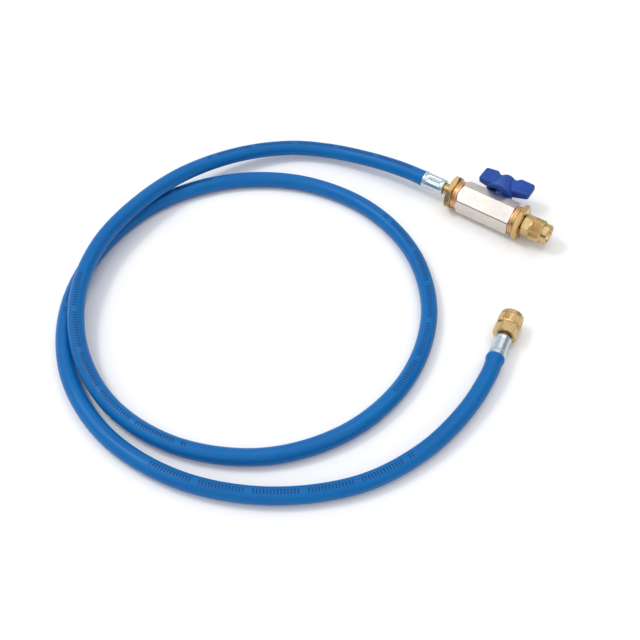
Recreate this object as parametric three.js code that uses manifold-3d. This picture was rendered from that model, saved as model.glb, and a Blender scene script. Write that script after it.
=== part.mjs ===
// Refrigerant charging hose: blue hose with crimped ferrules, a quarter-turn
// ball valve on one end and a knurled swivel nut on each end. Millimetres, +Z up.
// The valve's axis runs along +X. The hose lies on the floor in one and three
// quarter turns and crosses over itself once.
import * as THREE from "three";
import { mergeVertices } from "three/addons/utils/BufferGeometryUtils.js";
import Module from "manifold-3d";

const wasm = await Module();
wasm.setup();

// Clearances
const faceGap = 0.3; // between faces that are clamped together
const slipGap = 0.3; // radial, between a piece and the bore it sits in
const freeGap = 0.5; // between a piece that turns and its neighbour's face

// Hose
const hoseDiameter = 11;
const hoseSides = 12;
const hoseSteps = 72;

// Crimped ferrules
const ferruleLength = 17;
const ferruleDiameter = 11.4;
const ferruleLipDiameter = 12.2;
const ferruleLipLength = 1.6;
const ferruleChamfer = 0.6;
const tailDepth = 12.4; // how far a brass tail reaches into its ferrule

// Brass tails and flow passage
const tailDiameter = 7.4;
const passageDiameter = 4.6;
const inletNeckLength = 5.6; // between the ferrule and the hexagon

// Brass adapters, screwed into the valve body from both ends
const adapterFlats = 23;
const adapterHexLength = 4.2;
const adapterCollarDiameter = 20.4;
const adapterCollarLength = 2;
const spigotDiameter = 12.4;
const hexCornerChamfer = 0.9;

// Copper washers
const washerDiameter = 20;
const washerThickness = 1.3;

// Valve body, a length of hexagonal bar
const bodyLength = 42;
const bodyFlats = 21;
const bodyConeLength = 2.6;
const bodyFaceDiameter = 20.2; // turned face at the hose end
const bodyEdgeChamfer = 0.5;

// Ball, its two seats and the stem
const ballDiameter = 11.6;
const seatLength = 2.6;
const seatBore = 6;
const stemDiameter = 5;
const tongueWidth = 2;
const tongueDepth = 1.6;
const stemTop = 28.7; // from the valve's axis
const stemOffset = 1.6; // from the middle of the body, towards the outlet
const screwThread = 2.6;
const screwHeadDiameter = 5.4;
const screwHeadLength = 1.5;
const screwDepth = 5;

// Gland nut round the stem
const glandFlats = 9;
const glandHexLength = 2.8;
const glandThreadDiameter = 8.2;
const glandThreadLength = 2.2;

// Butterfly handle, measured along the stem from the valve's axis
const handleLength = 40;
const handleRim = 13.6;
const handleHubTop = 31.3;
const wingBottom = 20.8;
const wingTop = 33.4;
const wingTopLength = 9.4; // straight part of a wing's far edge
const wingTipThickness = 5.4;
const wingRootThickness = 10;
const wingCorner = 1.4;
const hubRimDiameter = 21;
const hubTopDiameter = 12;
const hubCavityDiameter = 15.4;
const hubCavityDepth = 4;
const notchHalfWidth = 6.6;

// Swivel nuts
const nutDiameter = 16.3;
const nutFlats = 14.6;
const nutBore = 10.6;
const nutMouthDiameter = 11.6;
const nutMouthDepth = 0.9;
const nutBackWall = 2.4;
const nutEdgeChamfer = 0.4;
const outletNutSize = { length: 19.5, flatsLength: 5.6, knurlLength: 8.4, tipDiameter: 14.4 };
const endNutSize = { length: 18.5, flatsLength: 7.9, knurlLength: 7.7, tipDiameter: 15.6 };

// Seat piece inside a swivel nut, and its gasket
const noseNeckDiameter = 8;
const noseFlangeDiameter = 9.8;
const noseFlangeLength = 2.2;
const noseLipDiameter = 6.6;
const noseLipLength = 1.6;
const gasketThickness = 1.4;

// How the piece lies
const restTurn = 15; // degrees from a hexagon's lowest corner to straight down
const stemRise = 8; // degrees that the stem rises above level
const handleTurn = -5; // degrees about the stem, just off fully open

// The hose's centreline from its exit at the inlet ferrule, chosen by hand
const routePoints = [
  [-10, 0, 0],
  [-26, -0.9, -0.6],
  [-50, -4, -2.2],
  [-78.5, -11, -4.1],
  [-104.5, -25.5, -3.8],
  [-129.5, -56.5, -0.4],
  [-146.5, -99, 3.9],
  [-153, -143, 4.8],
  [-149, -187, 4.6],
  [-130.5, -228, 3.2],
  [-99, -260, -1],
  [-58, -277.5, -5],
  [-8.5, -276, -7.1],
  [40, -251.5, -7.3],
  [71.5, -207.5, -7.3],
  [80, -154, -7.3],
  [64, -101, -7.3],
  [26, -61, -7.3],
  [-24.5, -42.5, -7.3],
  [-78.5, -49, -7.3],
  [-123.5, -79, -7.3],
  [-151, -125.5, -7.3],
  [-155, -180.5, -7.3],
  [-137, -232.5, -7.3],
  [-99.5, -273, -7.3],
  [-50, -294, -7.3],
  [4.5, -293.5, -7.3],
  [55, -273, -7.3],
  [95.5, -236.5, -7.3],
  [115.5, -196.5, -7],
  [122.6, -157.2, -5.9],
  [121.7, -126.1, -4.75],
  [118.9, -111.4, -4.68],
];

const roundSegments = 48;
const smallSegments = 32;

const brass = { color: 0xc8a564, roughness: 0.35, metalness: 1 };
const copper = { color: 0xeb825a, roughness: 0.35, metalness: 1 };
const nickel = { color: 0xdcd6d0, roughness: 0.4, metalness: 1 };
const zinc = { color: 0xc8d7e1, roughness: 0.3, metalness: 1 };
const steel = { color: 0xb8babc, roughness: 0.3, metalness: 1 };
const hoseBlue = { color: 0x166cb8, roughness: 0.5, metalness: 0 };
const handleBlue = { color: 0x3058aa, roughness: 0.5, metalness: 0 };
const white = { color: 0xe8e6e0, roughness: 0.5, metalness: 0 };
const black = { color: 0x1c1c1e, roughness: 0.7, metalness: 0 };

const degrees = THREE.MathUtils.degToRad;
const cornerRadius = (flats) => flats / Math.sqrt(3);

// Solids

function toSolid(geometry) {
  const bare = geometry.clone();
  bare.deleteAttribute("normal");
  bare.deleteAttribute("uv");
  const merged = mergeVertices(bare, 1e-4);
  return new wasm.Manifold(
    new wasm.Mesh({
      numProp: 3,
      vertProperties: merged.attributes.position.array,
      triVerts: new Uint32Array(merged.index.array),
    }),
  );
}

function toGeometry(solid) {
  const mesh = solid.getMesh();
  const geometry = new THREE.BufferGeometry();
  const places = new THREE.BufferAttribute(mesh.vertProperties, 3);
  geometry.setAttribute("position", places);
  geometry.setIndex(new THREE.BufferAttribute(mesh.triVerts, 1));
  const flat = geometry.toNonIndexed();
  flat.computeVertexNormals();
  return flat;
}

// A body turned round the X axis from an outline of [x, radius] points
function turned(outline, segments = roundSegments) {
  const points = outline.map(([x, radius]) => new THREE.Vector2(radius, x));
  const geometry = new THREE.LatheGeometry(points, segments);
  geometry.rotateZ(-Math.PI / 2);
  return toSolid(geometry);
}

function rod(from, to, diameter, segments = roundSegments) {
  const radius = diameter / 2;
  return turned([[from, 0], [from, radius], [to, radius], [to, 0]], segments);
}

function ring(from, to, outer, inner, segments = roundSegments) {
  const tube = rod(from, to, outer, segments);
  return tube.subtract(rod(from - 1, to + 1, inner, segments));
}

// A prism along X with its first corner at an angle from +Y towards +Z
function hexBar(from, to, flats, cornerAngle) {
  const shape = new THREE.Shape();
  for (let side = 0; side < 6; side += 1) {
    const angle = cornerAngle + (side * Math.PI) / 3;
    const y = cornerRadius(flats) * Math.cos(angle);
    const z = cornerRadius(flats) * Math.sin(angle);
    if (side === 0) shape.moveTo(y, z);
    else shape.lineTo(y, z);
  }
  shape.closePath();
  const geometry = new THREE.ExtrudeGeometry(shape, { depth: to - from, bevelEnabled: false });
  geometry.applyMatrix4(new THREE.Matrix4().set(0, 0, 1, from, 1, 0, 0, 0, 0, 1, 0, 0, 0, 0, 0, 1));
  return toSolid(geometry);
}

// The same prism with its corners turned down at both ends
function chamferedHex(from, to, flats, cornerAngle, chamfer = hexCornerChamfer) {
  const corner = cornerRadius(flats) + faceGap;
  const face = cornerRadius(flats) - chamfer * 1.6;
  const envelope = turned([
    [from, 0],
    [from, face],
    [from + chamfer, corner],
    [to - chamfer, corner],
    [to, face],
    [to, 0],
  ]);
  return hexBar(from, to, flats, cornerAngle).intersect(envelope);
}

const part = new THREE.Group();

function addMesh(parent, name, solid, look) {
  const mesh = new THREE.Mesh(toGeometry(solid), new THREE.MeshStandardMaterial(look));
  mesh.name = name;
  parent.add(mesh);
  return mesh;
}

// Places along the valve's axis, from the hose's exit
const exitAt = 0;
const inletHexAt = exitAt + ferruleLength + inletNeckLength;
const inletCollarAt = inletHexAt + adapterHexLength;
const inletWasherAt = inletCollarAt + adapterCollarLength + faceGap;
const bodyAt = inletWasherAt + washerThickness + faceGap;
const bodyEnd = bodyAt + bodyLength;
const outletWasherAt = bodyEnd + faceGap;
const outletCollarAt = outletWasherAt + washerThickness + faceGap;
const outletHexAt = outletCollarAt + adapterCollarLength;
const outletHexEnd = outletHexAt + adapterHexLength;
const outletNutAt = outletHexEnd + freeGap;
const outletEnd = outletNutAt + outletNutSize.length;
const stemAt = bodyAt + bodyLength / 2 + stemOffset;
const seatReach = ballDiameter / 2 + seatLength / 2;
const bodyBore = spigotDiameter + 2 * slipGap;
const stemFlat = bodyFlats / 2;
const glandSeat = stemFlat - glandThreadLength;

// Everything that sits on the valve's axis hangs in this group
const axisHeight = cornerRadius(adapterFlats) * Math.cos(degrees(restTurn));
const endNutHeight = nutDiameter / 2;
const valve = new THREE.Group();
part.add(valve);

const stemAngle = degrees(stemRise);
const bodyCorner = stemAngle + Math.PI / 6;
const straightDown = (3 * Math.PI) / 2;
const inletCorner = straightDown - degrees(restTurn);
const outletCorner = straightDown + degrees(restTurn);

// Ferrule: one crimped cup, the lip at the hose's side
function ferruleSolid() {
  const radius = ferruleDiameter / 2;
  const lip = ferruleLipDiameter / 2;
  const cup = turned([
    [faceGap / 2, 0],
    [faceGap / 2, lip - 0.3],
    [0.5, lip],
    [ferruleLipLength, lip],
    [ferruleLipLength + 0.5, radius],
    [ferruleLength - ferruleChamfer, radius],
    [ferruleLength, radius - ferruleChamfer],
    [ferruleLength, 0],
  ]);
  const seat = rod(ferruleLength - tailDepth - slipGap, ferruleLength + 1, tailDiameter + 2 * slipGap);
  return cup.subtract(seat);
}

// Seat piece inside a nut: neck, flange and a short lip, from the neck's root
function noseSolid(root) {
  const flangeAt = root + freeGap + nutBackWall + slipGap;
  const lipAt = flangeAt + noseFlangeLength;
  const neck = rod(root - 1, flangeAt + 0.5, noseNeckDiameter);
  const flange = rod(flangeAt, lipAt, noseFlangeDiameter);
  const lip = rod(lipAt - 0.5, lipAt + noseLipLength, noseLipDiameter);
  return neck.add(flange).add(lip);
}

function gasketSolid(root) {
  const at = root + freeGap + nutBackWall + slipGap + noseFlangeLength + faceGap;
  return ring(at, at + gasketThickness, nutBore - 2 * slipGap, noseLipDiameter + 2 * slipGap);
}

// Swivel nut: six flats at the back, knurled band, plain tip with an open bore
function nutSolid(from, size) {
  const flatsEnd = from + size.flatsLength;
  const knurlEnd = flatsEnd + size.knurlLength;
  const end = from + size.length;
  const radius = nutDiameter / 2;
  const tip = size.tipDiameter / 2;
  const outside = turned([
    [from, 0],
    [from, radius - nutEdgeChamfer * 2],
    [from + nutEdgeChamfer * 2, radius],
    [knurlEnd - nutEdgeChamfer, radius],
    [knurlEnd, radius - nutEdgeChamfer],
    [knurlEnd, tip],
    [end - nutEdgeChamfer, tip],
    [end, tip - nutEdgeChamfer],
    [end, 0],
  ]);
  const plain = outside.intersect(rod(flatsEnd, end + 1, nutDiameter + 2));
  const milled = outside.intersect(hexBar(from - 1, flatsEnd + faceGap, nutFlats, 0));
  const bore = turned([
    [from + nutBackWall, 0],
    [from + nutBackWall, nutBore / 2],
    [end - nutMouthDepth, nutBore / 2],
    [end, nutMouthDiameter / 2],
    [end + 1, nutMouthDiameter / 2],
    [end + 1, 0],
  ]);
  const backHole = rod(from - 1, from + nutBackWall + 1, noseNeckDiameter + 2 * slipGap);
  return plain.add(milled).subtract(bore).subtract(backHole);
}

// Inlet side, from the hose to the body
function inletAdapterSolid() {
  const tail = rod(ferruleLength - tailDepth, inletHexAt + 1, tailDiameter);
  const hex = chamferedHex(inletHexAt, inletCollarAt, adapterFlats, inletCorner);
  const collarEnd = inletCollarAt + adapterCollarLength;
  const collar = rod(inletCollarAt - 1, collarEnd, adapterCollarDiameter);
  const spigotEnd = stemAt - seatReach - faceGap;
  const spigot = rod(collarEnd - 1, spigotEnd, spigotDiameter);
  const passage = rod(ferruleLength - tailDepth - 1, spigotEnd + 1, passageDiameter, smallSegments);
  return tail.add(hex).add(collar).add(spigot).subtract(passage);
}

function outletAdapterSolid() {
  const spigotAt = stemAt + seatReach + faceGap;
  const spigot = rod(spigotAt, outletCollarAt + 1, spigotDiameter);
  const collar = rod(outletCollarAt, outletHexAt + 1, adapterCollarDiameter);
  const hex = chamferedHex(outletHexAt, outletHexEnd, adapterFlats, outletCorner);
  const passage = rod(spigotAt - 1, outletEnd, passageDiameter, smallSegments);
  return spigot.add(collar).add(hex).add(noseSolid(outletHexEnd)).subtract(passage);
}

function washerSolid(from) {
  return ring(from, from + washerThickness, washerDiameter, spigotDiameter + 2 * slipGap);
}

// Valve body: hexagonal bar, bored through, one flat drilled for the stem
function alongStem(solid, turn = 0) {
  const matrix = new THREE.Matrix4().makeRotationX(stemAngle - Math.PI / 2);
  matrix.multiply(new THREE.Matrix4().makeRotationY(-Math.PI / 2));
  matrix.multiply(new THREE.Matrix4().makeRotationX(degrees(turn)));
  matrix.setPosition(stemAt, 0, 0);
  return solid.transform(matrix.toArray());
}

function bodySolid() {
  const corner = cornerRadius(bodyFlats);
  const envelope = turned([
    [bodyAt, 0],
    [bodyAt, bodyFaceDiameter / 2],
    [bodyAt + bodyConeLength, corner + faceGap],
    [bodyEnd - bodyEdgeChamfer, corner + faceGap],
    [bodyEnd, corner - bodyEdgeChamfer],
    [bodyEnd, 0],
  ]);
  const bar = hexBar(bodyAt, bodyEnd, bodyFlats, bodyCorner).intersect(envelope);
  const bore = rod(bodyAt - 1, bodyEnd + 1, bodyBore);
  const stemHole = alongStem(rod(1, stemFlat + 1, stemDiameter + 2 * slipGap, smallSegments));
  const glandHole = alongStem(
    rod(glandSeat - slipGap, stemFlat + 1, glandThreadDiameter + 2 * slipGap, smallSegments),
  );
  return bar.subtract(bore).subtract(stemHole).subtract(glandHole);
}

function seatSolid(from) {
  const blank = ring(from, from + seatLength, spigotDiameter, seatBore, smallSegments);
  return blank.subtract(ballBlank(ballDiameter + 2 * slipGap));
}

function ballBlank(diameter) {
  const ball = new THREE.SphereGeometry(diameter / 2, smallSegments, smallSegments / 2);
  return toSolid(ball).translate([stemAt, 0, 0]);
}

function tongueSolid(width, bottom, top) {
  const box = new THREE.BoxGeometry(top - bottom, width, ballDiameter);
  box.translate((top + bottom) / 2, 0, 0);
  return toSolid(box);
}

function ballSolid() {
  const top = ballDiameter / 2;
  const slot = alongStem(tongueSolid(tongueWidth, top - tongueDepth, top + 1), handleTurn);
  const across = rod(-ballDiameter, ballDiameter, passageDiameter, smallSegments).rotate([0, 90, 0]);
  return ballBlank(ballDiameter).subtract(slot).subtract(alongStem(across, handleTurn));
}

function stemSolid() {
  const ballTop = ballDiameter / 2;
  const shaft = rod(ballTop + slipGap, stemTop, stemDiameter, smallSegments);
  const reach = stemDiameter / 2;
  const blade = tongueSolid(tongueWidth - 2 * slipGap, ballTop - tongueDepth + slipGap, ballTop + 1);
  const tongue = blade.intersect(rod(0, stemTop, 2 * reach - slipGap, smallSegments));
  const thread = rod(stemTop - screwDepth - slipGap, stemTop + 1, screwThread + 2 * slipGap, smallSegments);
  return alongStem(shaft.add(tongue).subtract(thread), handleTurn);
}

function glandSolid() {
  const thread = rod(glandSeat, stemFlat + faceGap + 0.5, glandThreadDiameter, smallSegments);
  const hexAt = stemFlat + faceGap;
  const hex = chamferedHex(hexAt, hexAt + glandHexLength, glandFlats, 0, 0.4);
  const bore = rod(glandSeat - 1, hexAt + glandHexLength + 1, stemDiameter + 2 * slipGap, smallSegments);
  return alongStem(thread.add(hex).subtract(bore));
}

function screwSolid() {
  const headAt = stemTop + faceGap;
  const thread = rod(stemTop - screwDepth, headAt + 0.5, screwThread, smallSegments);
  const head = rod(headAt, headAt + screwHeadLength, screwHeadDiameter, smallSegments);
  const slot = new THREE.BoxGeometry(screwHeadLength, screwHeadDiameter + 1, 0.9);
  slot.translate(headAt + screwHeadLength * 1.1, 0, 0);
  return alongStem(thread.add(head).subtract(toSolid(slot)), handleTurn);
}

// Side view of both wings: X along the valve, Y along the stem
function wingSideShape() {
  const half = handleLength / 2;
  const shape = new THREE.Shape();
  shape.moveTo(-half + wingCorner, wingBottom);
  shape.lineTo(half - wingCorner, wingBottom);
  shape.quadraticCurveTo(half, wingBottom, half, wingBottom + wingCorner);
  shape.lineTo(half, wingTop - wingCorner);
  shape.quadraticCurveTo(half, wingTop, half - wingCorner, wingTop);
  shape.lineTo(half - wingTopLength, wingTop);
  shape.lineTo(notchHalfWidth, handleHubTop - 1);
  shape.lineTo(-notchHalfWidth, handleHubTop - 1);
  shape.lineTo(-half + wingTopLength, wingTop);
  shape.lineTo(-half + wingCorner, wingTop);
  shape.quadraticCurveTo(-half, wingTop, -half, wingTop - wingCorner);
  shape.lineTo(-half, wingBottom + wingCorner);
  shape.quadraticCurveTo(-half, wingBottom, -half + wingCorner, wingBottom);
  return shape;
}

// Plan of both wings seen along the stem: thick at the hub, thin at the tips
function wingPlanShape() {
  const half = handleLength / 2 + 1;
  const root = wingRootThickness / 2;
  const tip = wingTipThickness / 2;
  const shape = new THREE.Shape();
  shape.moveTo(-half, -tip);
  shape.lineTo(0, -root);
  shape.lineTo(half, -tip);
  shape.lineTo(half, tip);
  shape.lineTo(0, root);
  shape.lineTo(-half, tip);
  shape.closePath();
  return shape;
}

// Stem frame of the wing shapes: X along the stem, Z along the valve
function wingsSolid() {
  const side = new THREE.ExtrudeGeometry(wingSideShape(), {
    depth: 2 * wingRootThickness,
    bevelEnabled: false,
    curveSegments: 4,
  });
  side.translate(0, 0, -wingRootThickness);
  side.applyMatrix4(new THREE.Matrix4().set(0, 1, 0, 0, 0, 0, 1, 0, 1, 0, 0, 0, 0, 0, 0, 1));
  const plan = new THREE.ExtrudeGeometry(wingPlanShape(), { depth: wingTop + 2, bevelEnabled: false });
  plan.applyMatrix4(new THREE.Matrix4().set(0, 0, 1, 0, 0, 1, 0, 0, -1, 0, 0, 0, 0, 0, 0, 1));
  return toSolid(side).intersect(toSolid(plan));
}

function handleSolid() {
  const rim = hubRimDiameter / 2;
  const top = hubTopDiameter / 2;
  const profile = [[handleRim, 0], [handleRim, rim - 0.6], [handleRim + 0.6, rim]];
  const flare = new THREE.QuadraticBezierCurve(
    new THREE.Vector2(handleRim + 1.8, rim),
    new THREE.Vector2(handleRim + 6, top + 0.6),
    new THREE.Vector2(handleHubTop - 1.2, top),
  );
  flare.getPoints(8).forEach((point) => profile.push([point.x, point.y]));
  profile.push([handleHubTop, top - 1.2], [handleHubTop, 0]);
  const hub = turned(profile);
  const cavity = rod(handleRim - 1, handleRim + hubCavityDepth, hubCavityDiameter);
  const stemBore = rod(handleRim, stemTop + faceGap / 2, stemDiameter + 2 * slipGap, smallSegments);
  const screwBore = rod(stemTop - 1, handleHubTop + 3, screwHeadDiameter + 2 * slipGap, smallSegments);
  const drilled = hub.add(wingsSolid()).subtract(cavity).subtract(stemBore).subtract(screwBore);
  return alongStem(drilled, handleTurn);
}

addMesh(valve, "inlet_ferrule", ferruleSolid(), zinc);
addMesh(valve, "inlet_adapter", inletAdapterSolid(), brass);
addMesh(valve, "inlet_washer", washerSolid(inletWasherAt), copper);
addMesh(valve, "valve_body", bodySolid(), nickel);
addMesh(valve, "inlet_seat", seatSolid(stemAt - seatReach), white);
addMesh(valve, "outlet_seat", seatSolid(stemAt + seatReach - seatLength), white);
addMesh(valve, "ball", ballSolid(), steel);
addMesh(valve, "stem", stemSolid(), steel);
addMesh(valve, "gland_nut", glandSolid(), nickel);
addMesh(valve, "handle", handleSolid(), handleBlue);
addMesh(valve, "handle_screw", screwSolid(), steel);
addMesh(valve, "outlet_washer", washerSolid(outletWasherAt), copper);
addMesh(valve, "outlet_adapter", outletAdapterSolid(), brass);
addMesh(valve, "outlet_gasket", gasketSolid(outletHexEnd), black);
addMesh(valve, "outlet_nut", nutSolid(outletNutAt, outletNutSize), brass);

// The origin is on the floor, under the middle of the valve assembly's box
const valveBox = new THREE.Box3().setFromObject(valve, true);
const valveMiddle = valveBox.getCenter(new THREE.Vector3());
valve.position.set(-valveMiddle.x, -valveMiddle.y, -valveBox.min.z);

// Hose
const exit = new THREE.Vector3(exitAt, 0, 0);
const routeVectors = routePoints.map(([x, y, z]) => new THREE.Vector3(x, y, z).add(exit));
const route = new THREE.CatmullRomCurve3([exit, ...routeVectors], false, "centripetal");

const section = new THREE.Shape();
for (let side = 0; side < hoseSides; side += 1) {
  const angle = ((side + 0.5) * 2 * Math.PI) / hoseSides;
  const x = (hoseDiameter / 2) * Math.cos(angle);
  const y = (hoseDiameter / 2) * Math.sin(angle);
  if (side === 0) section.moveTo(x, y);
  else section.lineTo(x, y);
}
section.closePath();
const hoseGeometry = new THREE.ExtrudeGeometry(section, {
  steps: hoseSteps,
  extrudePath: route,
  bevelEnabled: false,
});
addMesh(valve, "hose", toSolid(hoseGeometry), hoseBlue);

// Far end: ferrule, brass tail and swivel nut, in line with the hose's last stretch
const farEnd = routeVectors[routeVectors.length - 1];
const beforeEnd = routeVectors[routeVectors.length - 2];
const farHeading = Math.atan2(farEnd.y - beforeEnd.y, farEnd.x - beforeEnd.x);
const far = new THREE.Group();
far.position.set(farEnd.x, farEnd.y, endNutHeight - axisHeight);
far.rotation.z = farHeading;
valve.add(far);

const endTailNeck = 1.2; // between the ferrule and the nut
const endRoot = ferruleLength + endTailNeck - freeGap;

function endTailSolid() {
  const tail = rod(ferruleLength - tailDepth, endRoot, tailDiameter);
  const passage = rod(ferruleLength - tailDepth - 1, endRoot + endNutSize.length, passageDiameter, smallSegments);
  return tail.add(noseSolid(endRoot)).subtract(passage);
}

addMesh(far, "end_ferrule", ferruleSolid(), zinc);
addMesh(far, "end_tail", endTailSolid(), brass);
addMesh(far, "end_gasket", gasketSolid(endRoot), black);
addMesh(far, "end_nut", nutSolid(endRoot + freeGap, endNutSize), brass);

export default part;
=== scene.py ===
# Charging hose with an inline ball valve, dressed over its CAD frame
import math

import bmesh
import bpy
from mathutils import Matrix, Vector


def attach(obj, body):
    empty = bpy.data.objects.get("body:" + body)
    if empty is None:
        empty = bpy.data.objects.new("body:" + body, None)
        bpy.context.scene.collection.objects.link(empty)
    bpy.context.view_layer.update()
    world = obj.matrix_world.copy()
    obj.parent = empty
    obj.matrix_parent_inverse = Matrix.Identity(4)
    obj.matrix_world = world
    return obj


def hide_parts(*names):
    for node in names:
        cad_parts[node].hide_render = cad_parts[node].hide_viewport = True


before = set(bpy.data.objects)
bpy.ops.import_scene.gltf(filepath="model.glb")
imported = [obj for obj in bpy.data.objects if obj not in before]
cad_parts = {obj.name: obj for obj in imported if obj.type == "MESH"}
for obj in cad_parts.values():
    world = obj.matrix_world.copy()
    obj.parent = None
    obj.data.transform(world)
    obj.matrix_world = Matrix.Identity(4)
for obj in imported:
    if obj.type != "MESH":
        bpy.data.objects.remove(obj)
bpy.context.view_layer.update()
scene = bpy.context.scene

# camera, as the photo was taken
view = dict(
    place=(0.1875, -0.4946, 0.5178),
    pitch=51.5,
    heading=34.35,
    lens=55.8,
    sensor=36.0,
)


def addCamera():
    data = bpy.data.cameras.new("camera")
    data.lens = view["lens"]
    data.sensor_width = view["sensor"]
    data.clip_start = 0.01
    data.clip_end = 20
    cam = bpy.data.objects.new("camera", data)
    cam.location = view["place"]
    cam.rotation_euler = (math.radians(90 - view["pitch"]), 0, math.radians(view["heading"]))
    scene.collection.objects.link(cam)
    scene.camera = cam


addCamera()

# the valve's axis starts where the hose leaves its ferrule
valveStart = Vector((-0.050475, -0.010455, 0.0128265))
valvePlace = Matrix.Translation(valveStart)


# shader helpers

def newMaterial(name):
    material = bpy.data.materials.new(name)
    material.use_nodes = True
    tree = material.node_tree
    return material, tree, tree.nodes["Principled BSDF"]


def addNode(tree, kind, **values):
    node = tree.nodes.new(kind)
    for key, value in values.items():
        setattr(node, key, value)
    return node


def maths(tree, operation, first, second=0.0, clamp=False):
    node = addNode(tree, "ShaderNodeMath", operation=operation, use_clamp=clamp)
    for socket, value in zip(node.inputs, (first, second)):
        if isinstance(value, (int, float)):
            socket.default_value = value
        else:
            tree.links.new(value, socket)
    return node.outputs[0]


def noise(tree, vector, scale, detail=3.0, roughness=0.5):
    node = addNode(tree, "ShaderNodeTexNoise")
    node.inputs["Scale"].default_value = scale
    node.inputs["Detail"].default_value = detail
    node.inputs["Roughness"].default_value = roughness
    tree.links.new(vector, node.inputs["Vector"])
    return node.outputs["Fac"]


def spread(tree, value, low, high, newLow=0.0, newHigh=1.0, smooth=False):
    node = addNode(tree, "ShaderNodeMapRange", clamp=True)
    if smooth:
        node.interpolation_type = "SMOOTHSTEP"
    tree.links.new(value, node.inputs["Value"])
    node.inputs["From Min"].default_value = low
    node.inputs["From Max"].default_value = high
    node.inputs["To Min"].default_value = newLow
    node.inputs["To Max"].default_value = newHigh
    return node.outputs["Result"]


def stretched(tree, vector, scale):
    node = addNode(tree, "ShaderNodeMapping")
    node.inputs["Scale"].default_value = scale
    tree.links.new(vector, node.inputs["Vector"])
    return node.outputs["Vector"]


def mixColour(tree, factor, first, second):
    node = addNode(tree, "ShaderNodeMix", data_type="RGBA")
    if isinstance(factor, (int, float)):
        node.inputs[0].default_value = factor
    else:
        tree.links.new(factor, node.inputs[0])
    for socket, value in ((node.inputs[6], first), (node.inputs[7], second)):
        if isinstance(value, tuple):
            socket.default_value = (*value, 1.0)
        else:
            tree.links.new(value, socket)
    return node.outputs[2]


def addBump(tree, height, strength, distance, normal=None):
    node = addNode(tree, "ShaderNodeBump")
    node.inputs["Strength"].default_value = strength
    node.inputs["Distance"].default_value = distance
    tree.links.new(height, node.inputs["Height"])
    if normal is not None:
        tree.links.new(normal, node.inputs["Normal"])
    return node.outputs["Normal"]


def newGroup(name, inputs, outputs):
    group = bpy.data.node_groups.new(name, "ShaderNodeTree")
    for label, kind in inputs:
        group.interface.new_socket(label, in_out="INPUT", socket_type=kind)
    for label, kind in outputs:
        group.interface.new_socket(label, in_out="OUTPUT", socket_type=kind)
    return group, group.nodes.new("NodeGroupInput"), group.nodes.new("NodeGroupOutput")


def useGroup(tree, group, vector):
    node = tree.nodes.new("ShaderNodeGroup")
    node.node_tree = group
    tree.links.new(vector, node.inputs[0])
    return node


# handling marks: patchy smudges, short scratches and specks of dust
def makeHandling():
    group, start, end = newGroup(
        "handling",
        [("Vector", "NodeSocketVector")],
        [("Smudge", "NodeSocketFloat"), ("Scratch", "NodeSocketFloat"), ("Dust", "NodeSocketFloat")],
    )
    vector = start.outputs[0]
    smudge = spread(group, noise(group, vector, 90, 4, 0.6), 0.35, 0.7, smooth=True)
    group.links.new(smudge, end.inputs[0])
    marks = None
    for turn, size in ((0.5, 260), (1.4, 340), (2.4, 300)):
        rotated = addNode(group, "ShaderNodeMapping")
        rotated.inputs["Rotation"].default_value = (turn, turn * 0.7, turn * 1.3)
        rotated.inputs["Scale"].default_value = (0.06, 1.0, 1.0)
        group.links.new(vector, rotated.inputs["Vector"])
        lines = noise(group, rotated.outputs[0], size * 6, 2)
        thin = spread(group, lines, 0.74, 0.8)
        marks = thin if marks is None else maths(group, "MAXIMUM", marks, thin)
    patches = spread(group, noise(group, vector, 140, 2), 0.5, 0.62)
    group.links.new(maths(group, "MULTIPLY", marks, patches), end.inputs[1])
    specks = spread(group, noise(group, vector, 2600, 1), 0.76, 0.82)
    group.links.new(specks, end.inputs[2])
    return group


# fine rings left by the lathe, along the axis and on the end faces
def makeLathe():
    group, start, end = newGroup(
        "lathe", [("Vector", "NodeSocketVector")], [("Height", "NodeSocketFloat")]
    )
    split = addNode(group, "ShaderNodeSeparateXYZ")
    group.links.new(start.outputs[0], split.inputs[0])
    y2 = maths(group, "POWER", split.outputs[1], 2.0)
    z2 = maths(group, "POWER", split.outputs[2], 2.0)
    radius = maths(group, "SQRT", maths(group, "ADD", y2, z2))
    total = None
    for value, scale in ((split.outputs[0], 5200), (radius, 5200), (split.outputs[0], 1500)):
        rings = addNode(group, "ShaderNodeTexNoise", noise_dimensions="1D")
        rings.inputs["Scale"].default_value = scale
        rings.inputs["Detail"].default_value = 2.0
        group.links.new(value, rings.inputs["W"])
        total = rings.outputs["Fac"] if total is None else maths(group, "ADD", total, rings.outputs["Fac"])
    group.links.new(maths(group, "MULTIPLY", total, 0.333), end.inputs[0])
    return group


# long drawing lines along a bar
def makeDrawn():
    group, start, end = newGroup(
        "drawn", [("Vector", "NodeSocketVector")], [("Height", "NodeSocketFloat")]
    )
    lines = noise(group, stretched(group, start.outputs[0], (0.02, 1.0, 1.0)), 3800, 3, 0.6)
    group.links.new(lines, end.inputs[0])
    return group


handlingGroup = makeHandling()
latheGroup = makeLathe()
drawnGroup = makeDrawn()


# object coordinates with X along a fitting's own axis
def axisSpace(tree, origin, heading):
    coords = addNode(tree, "ShaderNodeTexCoord")
    shift = addNode(tree, "ShaderNodeVectorMath", operation="SUBTRACT")
    shift.inputs[1].default_value = origin
    tree.links.new(coords.outputs["Object"], shift.inputs[0])
    turn = addNode(tree, "ShaderNodeVectorRotate", rotation_type="Z_AXIS")
    turn.inputs["Angle"].default_value = -heading
    tree.links.new(shift.outputs[0], turn.inputs["Vector"])
    return turn.outputs[0]


# shape helpers; a fitting is built along X and then put in its place

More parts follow.
